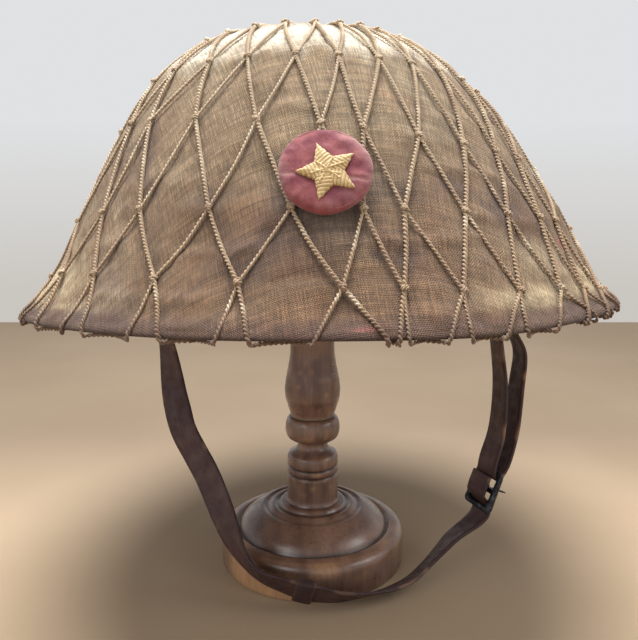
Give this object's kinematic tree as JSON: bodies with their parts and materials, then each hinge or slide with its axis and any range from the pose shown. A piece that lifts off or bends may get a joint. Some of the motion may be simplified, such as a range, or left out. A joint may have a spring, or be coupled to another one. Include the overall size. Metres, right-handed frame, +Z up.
{
  "type": "pith helmet on a wooden stand",
  "caption": "Cloth-covered pith helmet under a knotted cord net, with a round star badge and a buckled leather chin strap, on a turned wooden stand.",
  "frame": {"origin": "middle of the stand's underside, on the surface that the stand rests on", "axes": "+Z up along the stand, -Y towards the helmet's front where the badge is, +X to the right of someone who looks at the badge"},
  "size_m": [0.2833, 0.3129, 0.2676],
  "materials": {
    "pale_pith": "pressed pith board, pale, matt",
    "khaki_cloth": "coarse woven khaki cloth, stained",
    "straw_cord": "two-ply straw-coloured cord",
    "rose_cloth": "dusty rose cloth, creased",
    "yellow_thread": "yellow satin stitch",
    "dark_leather": "dark purple-brown strap leather",
    "dark_metal": "dark metal with a blue-green bloom",
    "stained_wood": "turned wood, reddish brown, waxed"
  },
  "bodies": {
    "root": {"helmet_shell": "pale_pith", "cloth_cover": "khaki_cloth", "cord_net": "straw_cord", "badge_disc": "rose_cloth", "badge_star": "yellow_thread", "strap_anchor_left": "dark_metal", "strap_anchor_right": "dark_metal", "chin_strap": "dark_leather", "buckle_strap": "dark_leather", "strap_keeper": "dark_leather", "strap_buckle": "dark_metal", "buckle_prong": "dark_metal", "stand_base": "stained_wood", "stand_column": "stained_wood"}
  },
  "joints": []
}
